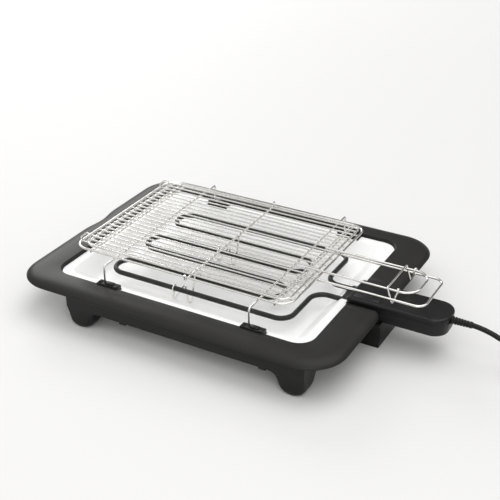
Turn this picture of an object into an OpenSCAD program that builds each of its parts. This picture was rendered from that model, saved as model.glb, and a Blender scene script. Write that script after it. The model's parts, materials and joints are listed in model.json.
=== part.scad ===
// Tabletop electric grill: a rimmed plastic base with a drip tray, a bent
// tubular heater on its own control housing, and a hinged double wire grid
// that stands in four sockets. Millimetres, +Z up, standing on z = 0.

/* [Base] */
// Distance from the heater's centre to the rim's left end
base_left = 233; // [218:1:250]
// Distance from the heater's centre to the rim's right end
base_right = 221; // [210:1:240]
// Overall width of the rim, along Y
base_w = 357; // [340:1:400]
// Height of the rim's inner edge above the table
rim_h = 53; // [48:1:70]
// Distance from the heater's centre to the opening's left edge
opening_left = 191; // [184:1:196]
// Distance from the heater's centre to the opening's right edge
opening_right = 175; // [170:1:180]
// Distance from the heater's centre to the opening's front edge
opening_front = 141; // [139.5:0.5:144]
// Distance from the heater's centre to the opening's back edge
opening_back = 146; // [142:0.5:148]
// Corner radius of the opening
opening_r = 22; // [15:1:30]
// Corner radius of the rim's outline
rim_corner_r = 48; // [40:1:60]
// How far the rim's outer edge drops below its inner edge
rim_drop = 6; // [3:0.5:9]
// Width of the rim's rounded outer band
rim_band = 24; // [18:1:30]
// Wall thickness of the plastic mouldings
base_wall = 3; // [2:0.1:4]
// Depth of the wall around the opening
inner_wall_h = 5.5; // [5:0.5:9]
// Width of the ledge that carries the drip tray
ledge_w = 4; // [3:0.5:6]
// Half width of the gap in the rim for the control housing
notch_half = 34; // [31:0.5:38]
// Depth of the hollow for the fingers in the rim's left side
grip_depth = 6; // [3:0.5:8]

/* [Lower body] */
// Distance from the heater's centre to the left end of the lower body
body_left = 150; // [140:1:160]
// Distance from the heater's centre to the right end of the lower body
body_right = 187; // [182:1:200]
// Half width of the lower body
body_half_w = 172; // [165:1:173]
// Height of the lower body's bottom edge above the table
body_bottom = 27; // [24:1:30]
// Width of a foot where it stands
foot_w = 30; // [24:1:36]
// Depth of a foot, front to back
foot_d = 32; // [26:1:40]
// Half width of the pedestal under the control housing
pedestal_half = 31; // [26:1:33]
// Distance from the heater's centre to the pedestal's outer face
pedestal_reach = 220; // [212:1:230]

/* [Drip tray] */
// Width of the tray's flat flange
tray_flange = 12; // [9:0.5:16]
// Height of the tray floor above the table
tray_floor = 28; // [27:0.5:32]
// Width of the tray's sloping wall in plan
tray_slope = 20; // [14:1:26]
// Thickness of the tray sheet
tray_t = 0.8; // [0.6:0.1:1.2]

/* [Heater] */
// Diameter of the heater tube
tube_d = 6.5; // [6:0.1:8.5]
// Distance between neighbouring heater runs
run_pitch = 37.4; // [35:0.2:39]
// Height of the heater tube's axis above the table
tube_h = 45; // [43:0.5:47]
// Distance from the centre to the left end of the runs
runs_left = 137; // [125:1:140]
// Distance from the centre to the right end of the inner loops
runs_right = 91; // [80:1:98]
// Distance from the centre to the tube's outer cross runs
cross_run = 125; // [120:1:130]
// Half the distance between the heater's two legs
leg_half = 14.5; // [12:0.5:16]
// Diameter of the wire in the heater's stands
stand_d = 2; // [1.6:0.1:2.4]

/* [Control housing] */
// Length of the control housing
housing_l = 128; // [115:1:135]
// Width of the control housing
housing_w = 52; // [48:1:56]
// Distance from the opening's edge in to the housing's inner end
housing_in = 3; // [2:0.5:6]
// Height of the housing's top above the table
housing_top_h = 57; // [55:0.5:60]
// Height of the housing's underside above the table
housing_low_h = 33; // [31:0.5:36]
// Height of the joint between the housing's two shells
housing_split_h = 48; // [44:0.5:51]
// Wall thickness of the housing shells
housing_wall = 2.4; // [2:0.1:3]

/* [Wire grids] */
// Height of the lower grid's outer wire above the table
grid_h = 80.5; // [76:0.5:90]
// Distance from the centre to the lower grid's left wire
grid_left = 176.5; // [168:0.5:182]
// Distance from the centre to the lower grid's right wire
grid_right = 136.5; // [132:0.5:142]
// Half width of the lower grid
grid_half_w = 114.7; // [112:0.1:120]
// How far the upper grid's left wire stands in from the lower one
upper_inset = 12.8; // [11:0.2:16]
// How far the upper grid's right wire stands in from the lower one
upper_short = 5.5; // [4:0.5:8]
// Half width of the upper grid
upper_half_w = 108; // [105:0.5:109]
// Height of the upper grid's outer wire above the lower one
upper_rise = 2.8; // [2.4:0.1:8]
// Corner radius of the lower grid's outer wire
grid_corner_r = 18; // [14:1:20]
// Corner radius of the upper grid's outer wire
upper_corner_r = 12; // [10:1:13]
// Diameter of the grids' outer wires
frame_wire = 3; // [2.6:0.1:3.2]
// Diameter of the thin rods
rod_d = 2; // [1.6:0.1:2.2]
// Diameter of the cross wires and of the legs
cross_d = 2.5; // [2.2:0.1:2.8]
// Distance between neighbouring rods of the upper grid
rod_pitch = 9.4; // [9:0.1:9.6]
// Depth of the welds, where wires sink into each other
weld = 0.2; // [0.1:0.05:0.3]
// Distance of the grid's legs from the middle line
leg_y = 137; // [135:0.5:137.5]
// Place of the left pair of legs, from the heater's centre
leg_left = -113; // [-120:1:-105]
// Place of the right pair of legs, from the heater's centre
leg_right = 96; // [90:1:106]

/* [Handles] */
// Half width between the lower handle's rails
lower_rail_y = 36.5; // [35:0.5:38]
// Distance from the centre to the lower handle's end
lower_reach = 275; // [268:1:290]
// Half width between the upper handle's rails
upper_rail_y = 28.5; // [27.5:0.5:29.5]
// Distance from the centre to the upper handle's end
upper_reach = 261; // [255:1:270]
// Diameter of the handle wires
handle_wire = 3; // [2.6:0.1:3.4]
// Diameter of the latch wire
latch_wire = 2.2; // [1.8:0.1:2.6]

/* [Mains lead] */
// Diameter of the lead
cord_d = 6.4; // [5.5:0.1:7.5]
// Radius of the coil's outermost turn
coil_r = 45; // [42:1:50]
// Distance between neighbouring turns of the coil
coil_pitch = 7; // [6.9:0.1:8]

/* [Hidden] */

$fn = 48;
wire_fn = 24;
clear = 0.3;

// Places that follow from the driving dimensions
base_l = base_left + base_right;
base_mid = (base_right - base_left) / 2;
opening_l = opening_left + opening_right;
opening_w = opening_front + opening_back;
opening_mid = [(opening_right - opening_left) / 2, (opening_back - opening_front) / 2];
housing_x0 = opening_right - housing_in;
housing_x1 = housing_x0 + housing_l;
frame_x = (base_left - housing_x1) / 2;
foot_lean = 3;
foot_x = [-body_left + foot_lean, body_right - foot_lean - foot_w];
ledge_top = rim_h - inner_wall_h;
ledge_t = 2;
rim_edge_h = rim_h - rim_drop;
lip_h = 2;
lip_low = rim_edge_h - lip_h;
tube_r = tube_d / 2;
stand_r = stand_d / 2;

// Grid levels
leg_wire_h = grid_h - frame_wire / 2 - cross_d / 2 + weld;
lower_rod_h = leg_wire_h + cross_d / 2 + rod_d / 2 - weld;
upper_frame_h = grid_h + upper_rise;
upper_rod_h = upper_frame_h + frame_wire / 2 + rod_d / 2 - weld;
upper_cross_h = upper_rod_h - rod_d / 2 - cross_d / 2 + weld;
upper_left = grid_left - upper_inset;
upper_right = grid_right - upper_short;

black = [0.16, 0.16, 0.155];
dark = [0.10, 0.10, 0.10];
enamel = [0.95, 0.95, 0.94];
steel = [0.80, 0.80, 0.80];
brass = [0.80, 0.65, 0.30];
ceramic = [0.92, 0.90, 0.84];

// ---------- shared shapes ----------

// The heater's centre stands left of the origin, over the same table
module at_frame() {
    translate([frame_x, 0, 0]) children();
}

module rounded_rect(l, w, r) {
    union() {
        square([l - 2 * r, w], center = true);
        square([l, w - 2 * r], center = true);
        for (sx = [-1, 1], sy = [-1, 1])
            translate([sx * (l / 2 - r), sy * (w / 2 - r)]) circle(r);
    }
}

// The opening's outline, grown or shrunk, and a flat ring round it
module opening_shape(grow) {
    translate(opening_mid) rounded_rect(opening_l + 2 * grow, opening_w + 2 * grow, opening_r + grow);
}
module opening_ring(z0, z1, grow_out, grow_in) {
    translate([0, 0, z0])
        linear_extrude(z1 - z0)
            difference() {
                opening_shape(grow_out);
                opening_shape(grow_in);
            }
}

// Points of an arc about c from angle a0 to a1
function arc(c, r, a0, a1, n = 8) =
    [for (i = [0 : n]) c + r * [cos(a0 + (a1 - a0) * i / n), sin(a0 + (a1 - a0) * i / n)]];

function unit(v) = v / norm(v);
function side_of(a, b) = unit(b - (a * b) * a);
function turn_of(a, b) = acos(min(1, max(-1, a * b)));
function any_side(a) = side_of(a, abs(a[2]) < 0.9 ? [0, 0, 1] : [1, 0, 0]);

// Puts a child's origin at p, with its x and z axes along x and z
module place(p, x, z) {
    y = cross(z, x);
    multmatrix([[x[0], y[0], z[0], p[0]],
                [x[1], y[1], z[1], p[1]],
                [x[2], y[2], z[2], p[2]],
                [0, 0, 0, 1]])
        children();
}

// A round wire along a polyline, with every corner bent to one radius
module wire(pts, d, bend, closed = false) {
    n = len(pts);
    dirs = [for (i = [0 : n - 1]) unit(pts[(i + 1) % n] - pts[i])];
    bent = [for (i = [0 : n - 1]) closed || (i > 0 && i < n - 1)];
    cuts = [for (i = [0 : n - 1])
        bent[i] ? bend * tan(turn_of(dirs[(i + n - 1) % n], dirs[i]) / 2) : 0];
    for (i = [0 : closed ? n - 1 : n - 2]) {
        run = norm(pts[(i + 1) % n] - pts[i]) - cuts[i] - cuts[(i + 1) % n];
        if (run > 0.01)
            place(pts[i] + dirs[i] * cuts[i], any_side(dirs[i]), dirs[i])
                cylinder(h = run, d = d, $fn = wire_fn);
    }
    for (i = [0 : n - 1])
        if (bent[i]) {
            a = dirs[(i + n - 1) % n];
            s = side_of(a, dirs[i]);
            place(pts[i] - a * cuts[i] + s * bend, -s, cross(-s, a))
                rotate_extrude(angle = turn_of(a, dirs[i]), $fn = 64)
                    translate([bend, 0]) circle(d = d, $fn = wire_fn);
        }
}

// A round wire along a polyline with tight corners
module kinked_wire(pts, d) {
    for (i = [0 : len(pts) - 2]) {
        along = unit(pts[i + 1] - pts[i]);
        place(pts[i], any_side(along), along)
            cylinder(h = norm(pts[i + 1] - pts[i]), d = d, $fn = wire_fn);
    }
    for (i = [1 : 1 : len(pts) - 2])
        translate(pts[i]) sphere(d = 1.03 * d, $fn = wire_fn);
}

// A round tube swept along points, faceted, for the soft mains lead
module swept_tube(pts, d, sides) {
    n = len(pts);
    tangents = [for (i = [0 : n - 1]) unit(pts[min(i + 1, n - 1)] - pts[max(i - 1, 0)])];
    rings = [for (i = [0 : n - 1])
        let (t = tangents[i], s = unit(cross([0, 0, 1], t)), u = cross(t, s))
            for (k = [0 : sides - 1])
                pts[i] + d / 2 * (s * cos(360 * k / sides) + u * sin(360 * k / sides))];
    skin = [for (i = [0 : n - 2], k = [0 : sides - 1])
        let (a = i * sides + k, b = i * sides + (k + 1) % sides)
            each [[a, b + sides, b], [a, a + sides, b + sides]]];
    start_cap = [for (k = [1 : sides - 2]) [0, k, k + 1]];
    end_base = (n - 1) * sides;
    end_cap = [for (k = [1 : sides - 2]) [end_base, end_base + k + 1, end_base + k]];
    polyhedron(points = rings, faces = concat(skin, start_cap, end_cap));
}

// ---------- base ----------

// Half section of the rounded band: u runs in from the outer edge
band_steps = 8;
function band_rise(u) = rim_drop * pow(1 - pow(1 - u / rim_band, 2.2), 0.8);
function band_top() = [for (i = [0 : band_steps]) let (u = rim_band * i / band_steps)
    [u, rim_edge_h + band_rise(u)]];
function band_under() = [for (i = [band_steps : -1 : 1]) let (u = rim_band * i / band_steps)
    [max(u, base_wall), rim_edge_h + band_rise(u) - base_wall]];
module band_section() {
    polygon(concat(band_top(), band_under(), [[base_wall * 0.7, lip_low], [0, lip_low]]));
}

// One straight stretch of the band, along X, with its outer edge at y = -1 * edge
module band_side(length, edge) {
    translate([-length / 2, -edge, 0])
        rotate([90, 0, 90])
            linear_extrude(length) band_section();
}

module band_corner() {
    rotate_extrude(angle = 90, $fn = 96)
        translate([rim_corner_r, 0]) mirror([1, 0]) band_section();
}

module rim_shell() {
    straight_x = base_l - 2 * rim_corner_r;
    straight_y = base_w - 2 * rim_corner_r;
    translate([base_mid, 0, 0]) {
        for (a = [0, 180]) rotate([0, 0, a]) band_side(straight_x, base_w / 2);
        for (a = [90, 270]) rotate([0, 0, a]) band_side(straight_y, base_l / 2);
        for (sx = [-1, 1], sy = [-1, 1])
            translate([sx * straight_x / 2, sy * straight_y / 2, 0])
                rotate([0, 0, sx > 0 ? (sy > 0 ? 0 : 270) : (sy > 0 ? 90 : 180)]) band_corner();
    }
    // flat top inside the band
    translate([0, 0, rim_h - base_wall])
        linear_extrude(base_wall)
            difference() {
                translate([base_mid, 0])
                    rounded_rect(base_l - 2 * rim_band, base_w - 2 * rim_band, rim_corner_r - rim_band);
                opening_shape(0);
            }
    // wall around the opening and the ledge for the tray
    opening_ring(ledge_top - ledge_t, rim_h - base_wall, base_wall, 0);
    opening_ring(ledge_top - ledge_t, ledge_top, base_wall, -ledge_w);
}

// The gap for the control housing, with rounded shoulders, cut along X
notch_shoulder = 8;
notch_floor = ledge_top - ledge_t - 1;
cheek_reach = 12;
cheek_t = 2.4;
module notch_cut() {
    outline = concat(
        [[-notch_half, notch_floor]],
        arc([-notch_half - notch_shoulder, rim_h - notch_shoulder], notch_shoulder, 0, 90),
        [[-notch_half - notch_shoulder, rim_h + 1], [notch_half + notch_shoulder, rim_h + 1]],
        arc([notch_half + notch_shoulder, rim_h - notch_shoulder], notch_shoulder, 90, 180),
        [[notch_half, notch_floor]]);
    translate([opening_right - cheek_reach - 1, 0, 0])
        rotate([90, 0, 90])
            linear_extrude(base_right - opening_right + cheek_reach + 2) polygon(outline);
}

// Cheeks that close the rim beside the notch and reach a little into the opening
module notch_cheeks() {
    for (s = [-1, 1])
        translate([opening_right - cheek_reach, s > 0 ? notch_half - 1 : -notch_half - cheek_t,
                   ledge_top - ledge_t])
            cube([base_right - opening_right + cheek_reach - rim_band / 2, cheek_t + 1,
                  rim_h - base_wall + 0.5 - ledge_top + ledge_t]);
}

// Hollow in the left side, behind which the band's wall follows it
grip_r = 70;
grip_y = 5;
module grip_round(r) {
    translate([-base_left - grip_r + grip_depth, grip_y, 0]) cylinder(h = rim_h + 1, r = r, $fn = 160);
}
module grip_wall() {
    intersection() {
        translate([base_mid, 0, 0])
            rotate([0, 0, 270])
                translate([-grip_r / 2 - grip_y, -base_l / 2, 0])
                    rotate([90, 0, 90])
                        linear_extrude(grip_r)
                            polygon(concat(band_top(), [[rim_band, lip_low], [0, lip_low]]));
        difference() {
            grip_round(grip_r + base_wall);
            grip_round(grip_r);
        }
    }
}

// Places of the screws that hold the lower body under the rim
screw_x = [foot_x[0] + foot_w / 2, 20, foot_x[1] + foot_w / 2];
screw_y = body_half_w - 9;
screw_d = 3.5;
boss_d = 9;
seat_h = rim_h - 14;
tab_t = 3;
module at_screws() {
    for (x = screw_x, s = [-1, 1]) translate([x, s * screw_y, 0]) children();
}

module top_frame() {
    color(black)
        at_frame()
            union() {
                difference() {
                    union() {
                        rim_shell();
                        notch_cheeks();
                    }
                    notch_cut();
                    grip_round(grip_r);
                }
                grip_wall();
                at_screws()
                    difference() {
                        translate([0, 0, seat_h]) cylinder(h = rim_h - base_wall - seat_h, d = boss_d);
                        translate([0, 0, seat_h - 1]) cylinder(h = 9, d = screw_d - 0.5);
                    }
            }
}

// Front outline of the lower body: a band with two feet that flare into it
foot_round = 9;
foot_flare = 10;
foot_taper = 4;
foot_floor = 5;
body_top = rim_h - 9;
module long_wall() {
    left_end = foot_x[0] + foot_w;
    polygon(concat(
        [[body_right, body_top], [body_right, body_bottom]],
        arc([foot_x[1] + foot_w - foot_round, foot_round], foot_round, 0, -90),
        arc([foot_x[1] + foot_round, foot_round], foot_round, -90, -180),
        arc([foot_x[1] - foot_taper - foot_flare, body_bottom - foot_flare], foot_flare, 0, 90),
        arc([left_end + foot_taper + foot_flare, body_bottom - foot_flare], foot_flare, 90, 180),
        arc([left_end - foot_round, foot_round], foot_round, 0, -90),
        arc([foot_x[0] + foot_round, foot_round], foot_round, -90, -180),
        [[-body_left, body_bottom], [-body_left, body_top]]));
}

module foot_block(x0) {
    side = foot_lean + 1;
    difference() {
        translate([x0 - side, -body_half_w, 0])
            rotate([90, 0, 90])
                linear_extrude(foot_w + 2 * side)
                    polygon(concat(
                        [[0, body_top], [0, foot_round]],
                        arc([foot_round, foot_round], foot_round, 180, 270),
                        arc([foot_d - foot_round, foot_round], foot_round, -90, 0),
                        [[foot_d + foot_taper, body_bottom + 4], [foot_d + foot_taper, body_top - 10]]));
        translate([x0 + base_wall, -body_half_w + base_wall, foot_floor])
            cube([foot_w - 2 * base_wall, foot_d - 2 * base_wall, body_top]);
    }
}

// The feet follow the long wall's outline, so each block is cut by it
module feet() {
    for (s = [-1, 1])
        scale([1, s, 1])
            intersection() {
                union() {
                    for (x = foot_x) foot_block(x);
                }
                translate([0, -body_half_w + foot_d + foot_taper + 1, 0])
                    rotate([90, 0, 0])
                        linear_extrude(foot_d + foot_taper + 2) long_wall();
            }
}

// A pedestal with waisted sides carries the housing outside the rim's end
pedestal_waist = 4;
pedestal_margin = 2.5;
pedestal_top = housing_low_h - clear;
module pedestal() {
    waist_half_h = pedestal_top / 2 - pedestal_margin;
    waist_r = (pow(waist_half_h, 2) + pow(pedestal_waist, 2)) / (2 * pedestal_waist);
    outline_half = pedestal_half;
    difference() {
        translate([body_right - base_wall, -outline_half, 0])
            cube([pedestal_reach - body_right + base_wall, 2 * outline_half, pedestal_top]);
        for (s = [-1, 1])
            translate([body_right - base_wall - 1, s * (outline_half - pedestal_waist + waist_r), pedestal_top / 2])
                rotate([0, 90, 0]) cylinder(h = pedestal_reach, r = waist_r, $fn = 160);
        translate([body_right, -outline_half + pedestal_waist + base_wall, -1])
            cube([pedestal_reach - body_right - base_wall,
                  2 * (outline_half - pedestal_waist - base_wall), pedestal_top - base_wall + 1]);
    }
}

nub_x = [-65, 132];
module lower_body() {
    end_h = pedestal_top;
    rail_top = tray_floor - tray_t - 2;
    color(dark)
        at_frame()
            difference() {
                union() {
                    for (s = [-1, 1])
                        translate([0, s > 0 ? body_half_w : -body_half_w + base_wall, 0])
                            rotate([90, 0, 0]) linear_extrude(base_wall) long_wall();
                    feet();
                    // end rails: a low one under the tray's slope, a taller one by the pedestal
                    translate([-body_left, -body_half_w + 1, body_bottom - 6])
                        cube([base_wall, 2 * body_half_w - 2, rail_top - body_bottom + 6]);
                    translate([body_right - base_wall, -body_half_w + 1, body_bottom - 6])
                        cube([base_wall, 2 * body_half_w - 2, end_h - body_bottom + 6]);
                    pedestal();
                    // screw tabs on the long walls, and the nubs under them
                    at_screws() translate([0, 0, seat_h - tab_t]) cylinder(h = tab_t, d = boss_d);
                    for (x = screw_x, s = [-1, 1])
                        translate([x - boss_d / 2, s > 0 ? screw_y : -body_half_w + 1, seat_h - tab_t])
                            cube([boss_d, body_half_w - 1 - screw_y, tab_t]);
                    for (x = nub_x, s = [-1, 1])
                        translate([x - 5, s * (body_half_w - 4) - 3, body_bottom - 3]) cube([10, 6, 8]);
                }
                at_screws() translate([0, 0, seat_h - tab_t - 1]) cylinder(h = tab_t + 2, d = screw_d + 0.6);
            }
}

module frame_screws() {
    color(steel)
        at_frame()
            at_screws() {
                translate([0, 0, seat_h - tab_t - 2.2]) cylinder(h = 2.2, d = 7);
                translate([0, 0, seat_h - tab_t]) cylinder(h = tab_t + 7, d = screw_d);
            }
}

// Sockets that hold the grid's legs on the rim's inner edge
socket_l = 31;
socket_shift = 6;
socket_in = 9;
socket_rise = 3;
socket_hook = 2.5;
socket_bore = cross_d + 0.8;
leg_low = ledge_top + 2;
module grid_socket(x, s) {
    edge = s > 0 ? opening_back : opening_front;
    inner = leg_y - socket_in / 2;
    mid = x + socket_shift;
    color(dark)
        at_frame()
            mirror([0, s < 0 ? 1 : 0, 0])
                difference() {
                    union() {
                        translate([mid - socket_l / 2, inner, ledge_top])
                            cube([socket_l, edge - inner - 0.3, rim_h + socket_rise - 1.5 - ledge_top]);
                        translate([mid - socket_l / 2, inner + 1, rim_h + 0.3])
                            cube([socket_l, edge + socket_hook - inner - 1, socket_rise - 1.8]);
                        translate([mid - socket_l / 4, inner + 1.5, rim_h + 0.3])
                            cube([socket_l / 2, edge - inner - 1.5, socket_rise - 0.3]);
                    }
                    translate([x, leg_y, leg_low - 1]) cylinder(h = 20, d = socket_bore);
                }
}
module socket_front_left() { grid_socket(leg_left, -1); }
module socket_front_right() { grid_socket(leg_right, -1); }
module socket_back_left() { grid_socket(leg_left, 1); }
module socket_back_right() { grid_socket(leg_right, 1); }

// ---------- drip tray ----------

tray_fit = 0.8;
tray_l = opening_l - 2 * tray_fit;
tray_w = opening_w - 2 * tray_fit;
flange_low = ledge_top + clear;
flange_top = flange_low + tray_t;
pan_r = opening_r - tray_flange / 2;
module pan_layer(z, grow) {
    translate([opening_mid[0], opening_mid[1], z])
        linear_extrude(0.1)
            rounded_rect(tray_l - 2 * tray_flange + 2 * grow, tray_w - 2 * tray_flange + 2 * grow,
                         pan_r, $fn = 40);
}
module tray_bowl(grow, top, low) {
    soft = 4;
    hull() {
        pan_layer(top - 0.1, grow);
        pan_layer(low + 2.5, grow + soft - tray_slope);
        pan_layer(low, grow - tray_slope);
    }
}
module drip_tray() {
    slot_l = socket_l + 2;
    slot_y = leg_y - socket_in / 2 - 1;
    leg_room = leg_half + tube_r + 1;
    nose_room = housing_w / 2 + 1;
    color(enamel)
        at_frame()
            difference() {
                union() {
                    translate([opening_mid[0], opening_mid[1], flange_low])
                        linear_extrude(tray_t) rounded_rect(tray_l, tray_w, opening_r - tray_fit);
                    tray_bowl(tray_t, flange_low + 0.1, tray_floor - tray_t);
                }
                tray_bowl(0, flange_top + 1, tray_floor);
                for (x = [leg_left, leg_right], s = [-1, 1])
                    translate([x + socket_shift - slot_l / 2, s > 0 ? slot_y : -slot_y - socket_in * 2,
                               flange_low - 1])
                        cube([slot_l, socket_in * 2, tray_t + 2]);
                // room for the cheeks beside the notch
                for (s = [-1, 1])
                    translate([opening_right - cheek_reach - 1, s * (notch_half + cheek_t / 2) - cheek_t / 2 - 1,
                               flange_low - 1])
                        cube([cheek_reach + 2, cheek_t + 2, tray_t + 2]);
                // room for the heater's legs and the housing's inner end
                translate([opening_right - tray_flange - tray_slope / 2, -leg_room, tube_h - tube_r - 1])
                    cube([tray_flange + tray_slope, 2 * leg_room, tube_d + 2]);
                translate([housing_x0 - 1, -nose_room, flange_low - 1]) cube([10, 2 * nose_room, tray_t + 2]);
            }
}

// ---------- heater ----------

plate_x = housing_x0 + housing_wall + 2;
plate_t = 2;
leg_end = housing_x0 + 22;
run_y = [for (i = [0 : 5]) (i - 2.5) * run_pitch];
element_path = [[leg_end, -leg_half, tube_h], [cross_run, -leg_half, tube_h],
    [cross_run, run_y[0], tube_h], [-runs_left, run_y[0], tube_h],
    [-runs_left, run_y[1], tube_h], [runs_right, run_y[1], tube_h],
    [runs_right, run_y[2], tube_h], [-runs_left, run_y[2], tube_h],
    [-runs_left, run_y[3], tube_h], [runs_right, run_y[3], tube_h],
    [runs_right, run_y[4], tube_h], [-runs_left, run_y[4], tube_h],
    [-runs_left, run_y[5], tube_h], [cross_run, run_y[5], tube_h],
    [cross_run, leg_half, tube_h], [leg_end, leg_half, tube_h]];
module heating_element() {
    color([0.25, 0.25, 0.25])
        at_frame() wire(element_path, tube_d, run_pitch / 2);
}

// A bent wire stand: a ring on one run, two feet on the tray and a hook on top
stand_foot_h = tray_floor + clear + stand_r;
stand_clip_x = -37;
module stand(y) {
    ring_r = tube_r + stand_r + 0.05;
    back = tube_r + stand_r + 1.5;
    hook_h = leg_wire_h - cross_d - stand_d;
    color(steel)
        at_frame() {
            translate([stand_clip_x, y, tube_h])
                rotate([0, 90, 0])
                    rotate_extrude($fn = 64) translate([ring_r, 0]) circle(stand_r, $fn = wire_fn);
            kinked_wire([[stand_clip_x, y, tube_h - ring_r + 0.2],
                         [stand_clip_x - 3.5, y + 1, stand_foot_h],
                         [stand_clip_x - 0.5, y + 2, stand_foot_h],
                         [stand_clip_x + 13, y + back, tube_h + 7],
                         [stand_clip_x + 18.5, y + 2.5, stand_foot_h],
                         [stand_clip_x + 24, y + 2.5, stand_foot_h],
                         [stand_clip_x + 28, y + back + 1, hook_h],
                         [stand_clip_x + 28, y + back + 9, hook_h]], stand_d);
        }
}
module stand_front() { stand(run_y[0]); }
module stand_back() { stand(run_y[3]); }

// ---------- control housing ----------

housing_end_r = 20;
module housing_outline(inset) {
    w = housing_w - 2 * inset;
    r = housing_end_r - inset;
    l = housing_l - 2 * inset;
    translate([housing_x0 + inset, 0]) {
        translate([0, -w / 2]) square([l - r, w]);
        translate([0, -w / 2 + r]) square([l, w - 2 * r]);
        for (s = [-1, 1]) translate([l - r, s * (w / 2 - r)]) circle(r, $fn = 64);
    }
}
module housing_skin(z0, z1, edge_low, edge_top) {
    hull() {
        translate([0, 0, z0]) linear_extrude(0.1) housing_outline(edge_low);
        translate([0, 0, z0 + edge_low]) linear_extrude(0.1) housing_outline(0);
        translate([0, 0, z1 - edge_top - 0.1]) linear_extrude(0.1) housing_outline(0);
        translate([0, 0, z1 - 0.1]) linear_extrude(0.1) housing_outline(edge_top);
    }
}
post_y = housing_w / 2 - housing_wall - 2.6;
screw_posts = [[housing_x0 + 48, post_y], [housing_x0 + 48, -post_y],
               [housing_x1 - 30, 15], [housing_x1 - 30, -15]];
module cord_hole() {
    translate([housing_x1 - 12, 0, cord_h]) rotate([0, 90, 0]) cylinder(h = 20, d = relief_d + 0.1);
}
module leg_holes() {
    for (s = [-1, 1])
        translate([housing_x0 - 5, s * leg_half, tube_h])
            rotate([0, 90, 0]) cylinder(h = 12, d = tube_d + 0.8);
}
module housing_bottom() {
    color(dark)
        at_frame()
            difference() {
                union() {
                    difference() {
                        housing_skin(housing_low_h, housing_split_h, 1.5, 0);
                        translate([0, 0, housing_low_h + housing_wall])
                            linear_extrude(40) housing_outline(housing_wall);
                    }
                    for (p = screw_posts)
                        translate([p[0], p[1], housing_low_h + 1])
                            cylinder(h = housing_split_h - housing_low_h - 1, d = 7);
                }
                for (p = screw_posts) {
                    translate([p[0], p[1], housing_low_h - 1]) cylinder(h = 30, d = 3.4);
                    translate([p[0], p[1], housing_low_h - 1]) cylinder(h = 4, d = 6.2);
                }
                cord_hole();
                leg_holes();
            }
}
module housing_top() {
    color(black)
        at_frame()
            difference() {
                union() {
                    difference() {
                        housing_skin(housing_split_h, housing_top_h, 0, 2);
                        translate([0, 0, housing_split_h - 1])
                            linear_extrude(housing_top_h - housing_split_h + 1 - housing_wall)
                                housing_outline(housing_wall);
                    }
                    for (p = screw_posts)
                        translate([p[0], p[1], housing_split_h])
                            cylinder(h = housing_top_h - housing_split_h - 1, d = 6);
                }
                for (p = screw_posts)
                    translate([p[0], p[1], housing_split_h - 1]) cylinder(h = 6, d = 2.4);
                cord_hole();
                leg_holes();
            }
}
module housing_screws() {
    color(steel)
        at_frame()
            for (p = screw_posts) {
                translate([p[0], p[1], housing_low_h + 0.8]) cylinder(h = 2.2, d = 5.6);
                translate([p[0], p[1], housing_low_h + 3]) cylinder(h = 16.5, d = 2.9);
            }
}

// Steel plate inside the housing's mouth that holds the two heater legs
module mounting_plate() {
    plate_low = housing_low_h + housing_wall;
    plate_top = housing_top_h - housing_wall;
    color(steel)
        at_frame()
            difference() {
                translate([plate_x, -housing_w / 2 + housing_wall + 0.2, plate_low])
                    cube([plate_t, housing_w - 2 * housing_wall - 0.4, plate_top - plate_low - 0.2]);
                for (s = [-1, 1])
                    translate([plate_x - 1, s * leg_half, tube_h])
                        rotate([0, 90, 0]) cylinder(h = plate_t + 2, d = tube_d + 0.1);
            }
}

// Ceramic bushes on the cold ends of the tube, with the flat tabs on their pins
bush_l = 5;
module element_bushes() {
    color(ceramic)
        at_frame()
            for (s = [-1, 1])
                translate([leg_end, s * leg_half, tube_h])
                    rotate([0, 90, 0])
                        difference() {
                            cylinder(h = bush_l, d = tube_d - 0.5);
                            translate([0, 0, -1]) cylinder(h = bush_l + 2, d = 2.4);
                        }
}
module terminal_tabs() {
    color(brass)
        at_frame()
            for (s = [-1, 1])
                translate([leg_end, s * leg_half, tube_h]) {
                    rotate([0, 90, 0]) cylinder(h = bush_l + 4, d = 2.3);
                    translate([bush_l + 3, -3.15, -0.4]) cube([10, 6.3, 0.8]);
                }
}

// Disc thermostat on the plate, in series with one leg
module thermal_cutout() {
    color(ceramic)
        at_frame()
            translate([plate_x + plate_t, 0, tube_h])
                rotate([0, 90, 0]) {
                    cylinder(h = 4, d = 16);
                    cylinder(h = 12, d = 13);
                }
}

// Insulated leads from the clamp to the tabs and the thermostat
lead_wire_d = 2;
clamp_x = housing_x1 - 44;
function eased(a, b, n = 8) =
    [for (i = [0 : n]) let (u = i / n, v = u * u * (3 - 2 * u))
        [a[0] + (b[0] - a[0]) * u, a[1] + (b[1] - a[1]) * v, a[2] + (b[2] - a[2]) * v]];
module terminal_leads() {
    tab_end = leg_end + bush_l + 12.5;
    thermostat_end = plate_x + plate_t + 12.3;
    color([0.75, 0.72, 0.66])
        at_frame() {
            for (s = [-1, 1])
                swept_tube(eased([tab_end, s * leg_half, tube_h + 1.3], [clamp_x - 2.3, s * 2, cord_h + 1]),
                           lead_wire_d, 8);
            swept_tube(eased([thermostat_end, 0, tube_h - 3], [clamp_x - 2.3, 0, cord_h - 2]), lead_wire_d, 8);
        }
}

// Saddle that grips the lead inside the housing, and the lead's inner end
cord_h = 49;
relief_d = 10;
relief_l = 26;
module cord_clamp() {
    saddle_w = 22;
    base_z = housing_low_h + housing_wall;
    color(ceramic)
        at_frame()
            difference() {
                translate([clamp_x, -saddle_w / 2, base_z]) cube([9, saddle_w, cord_h + 4.5 - base_z]);
                translate([clamp_x - 1, 0, cord_h - 1]) rotate([0, 90, 0]) cylinder(h = 20, d = cord_d + 2.4);
            }
}

// ---------- mains lead ----------

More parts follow.
